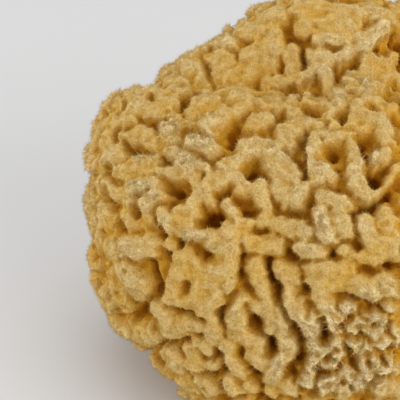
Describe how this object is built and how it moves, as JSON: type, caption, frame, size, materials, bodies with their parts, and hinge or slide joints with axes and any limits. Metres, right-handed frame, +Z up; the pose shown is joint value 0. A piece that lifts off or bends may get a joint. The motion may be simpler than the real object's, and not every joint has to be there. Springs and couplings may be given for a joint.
{
  "type": "sea sponge",
  "caption": "Natural wool sponge: a rounded, lobed lump of felted fibre covered in pits, clefts and folds, resting on a flat cut base.",
  "frame": {"origin": "middle of the bounding box's bottom face, on the surface that the sponge rests on", "axes": "+X along the longest side, +Y from the front to the back, +Z up"},
  "size_m": [0.1506, 0.1202, 0.1039],
  "materials": {
    "wool_fibre": "dull felted ochre fibre, pale at its tips and deep orange-brown inside its pits"
  },
  "bodies": {
    "root": {"sponge": "wool_fibre"}
  },
  "joints": []
}
